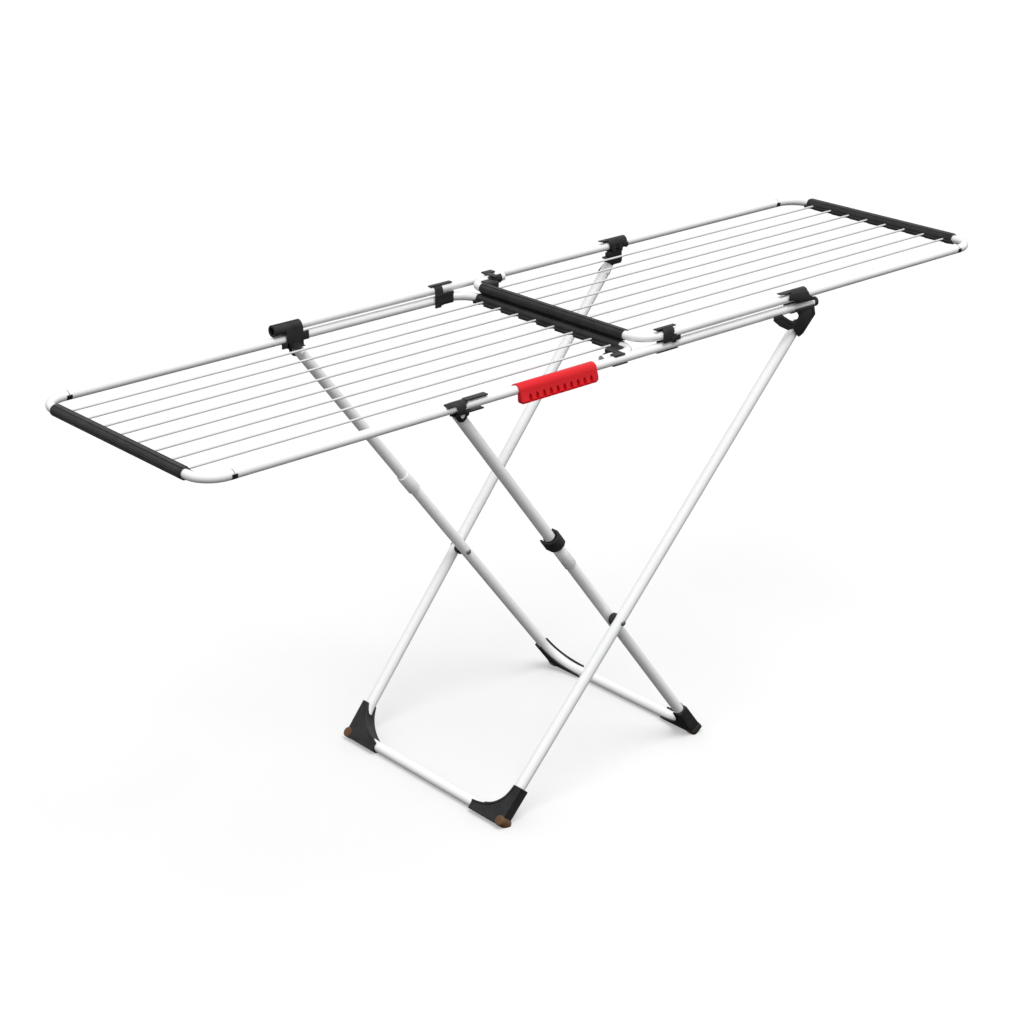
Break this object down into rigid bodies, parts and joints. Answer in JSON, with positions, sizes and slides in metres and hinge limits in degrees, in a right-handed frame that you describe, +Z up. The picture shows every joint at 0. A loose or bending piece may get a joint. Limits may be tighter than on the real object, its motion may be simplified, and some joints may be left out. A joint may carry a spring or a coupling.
{
  "type": "clothes drying rack",
  "caption": "Folding clothes drying rack: two overlapping wire frames that slide together on crossed U-shaped tube legs, with a carrying handle.",
  "frame": {"origin": "on the floor, under the middle of the two overlapping frames", "axes": "+X along the rack to its right end, +Y from the front to the back, +Z up"},
  "size_m": [1.821, 0.5356, 0.857],
  "materials": {
    "frame_white": "glossy white powder coat on steel tube",
    "wire_white": "white coated steel wire",
    "leg_silver": "smooth silver-white paint on steel tube",
    "plastic_charcoal": "charcoal moulded plastic",
    "handle_red": "satin red plastic",
    "rubber_brown": "brown rubber",
    "clear_plastic": "pale translucent plastic",
    "rivet": "steel rivet with a dark plastic spacer"
  },
  "bodies": {
    "outer_legs": {"cross_rivet_back": "rivet", "cross_rivet_front": "rivet", "outer_floor_bar": "leg_silver", "outer_foot_back": "plastic_charcoal", "outer_foot_front": "plastic_charcoal", "outer_leg_back": "leg_silver", "outer_leg_front": "leg_silver", "outer_pad_back": "rubber_brown", "outer_pad_front": "rubber_brown"},
    "inner_legs": {"inner_floor_bar": "leg_silver", "inner_foot_back": "plastic_charcoal", "inner_foot_front": "plastic_charcoal", "inner_leg_back": "leg_silver", "inner_leg_clip": "plastic_charcoal", "inner_leg_front": "leg_silver", "inner_leg_guide": "clear_plastic", "inner_leg_sleeve": "clear_plastic", "inner_pad_back": "rubber_brown", "inner_pad_front": "rubber_brown"},
    "frame_a": {"clamp_front_right": "plastic_charcoal", "frame_a_bracket": "plastic_charcoal", "frame_a_centre_bow": "frame_white", "frame_a_centre_cover": "plastic_charcoal", "frame_a_clip": "plastic_charcoal", "frame_a_end_bow": "frame_white", "frame_a_end_cover": "plastic_charcoal", "frame_a_long_rail": "frame_white", "frame_a_short_rail": "frame_white", "frame_a_wire_1": "wire_white", "frame_a_wire_2": "wire_white", "frame_a_wire_3": "wire_white", "frame_a_wire_4": "wire_white", "frame_a_wire_5": "wire_white", "frame_a_wire_6": "wire_white", "frame_a_wire_7": "wire_white", "frame_a_wire_8": "wire_white", "handle": "handle_red", "rail_end_cap": "plastic_charcoal"},
    "frame_b": {"clamp_back_left": "plastic_charcoal", "frame_b_bracket": "plastic_charcoal", "frame_b_centre_bow": "frame_white", "frame_b_centre_cover": "plastic_charcoal", "frame_b_clip": "plastic_charcoal", "frame_b_end_bow": "frame_white", "frame_b_end_cover": "plastic_charcoal", "frame_b_long_rail": "frame_white", "frame_b_short_rail": "frame_white", "frame_b_wire_1": "wire_white", "frame_b_wire_2": "wire_white", "frame_b_wire_3": "wire_white", "frame_b_wire_4": "wire_white", "frame_b_wire_5": "wire_white", "frame_b_wire_6": "wire_white", "frame_b_wire_7": "wire_white", "frame_b_wire_8": "wire_white"},
    "slider_right": {"slider_back_right": "plastic_charcoal"},
    "slider_left": {"slider_front_left": "plastic_charcoal"}
  },
  "joints": [
    {"name": "fold", "type": "hinge", "parent": "outer_legs", "child": "inner_legs", "pos_m": [-0.04052, 0, 0.319], "axis": [0, -1, 0], "range_deg": [0, 80]},
    {"name": "frame_a_tilt", "type": "hinge", "parent": "outer_legs", "child": "frame_a", "pos_m": [0.37137, 0, 0.785], "axis": [0, -1, 0], "range_deg": [0, 38.46]},
    {"name": "slider_right_tilt", "type": "hinge", "parent": "outer_legs", "child": "slider_right", "pos_m": [0.37137, 0, 0.785], "axis": [0, -1, 0], "range_deg": [0, 38.46]},
    {"name": "frame_b_tilt", "type": "hinge", "parent": "inner_legs", "child": "frame_b", "pos_m": [-0.39624, 0, 0.8], "axis": [0, -1, 0], "range_deg": [-41.56, 0]},
    {"name": "slider_left_tilt", "type": "hinge", "parent": "inner_legs", "child": "slider_left", "pos_m": [-0.39624, 0, 0.8], "axis": [0, -1, 0], "range_deg": [-41.56, 0]}
  ],
  "couplings": [
    {"joint": "frame_a_tilt", "follows": "fold", "ratio": 0.4806},
    {"joint": "slider_right_tilt", "follows": "fold", "ratio": 0.4806},
    {"joint": "frame_b_tilt", "follows": "fold", "ratio": -0.5194},
    {"joint": "slider_left_tilt", "follows": "fold", "ratio": -0.5194}
  ]
}
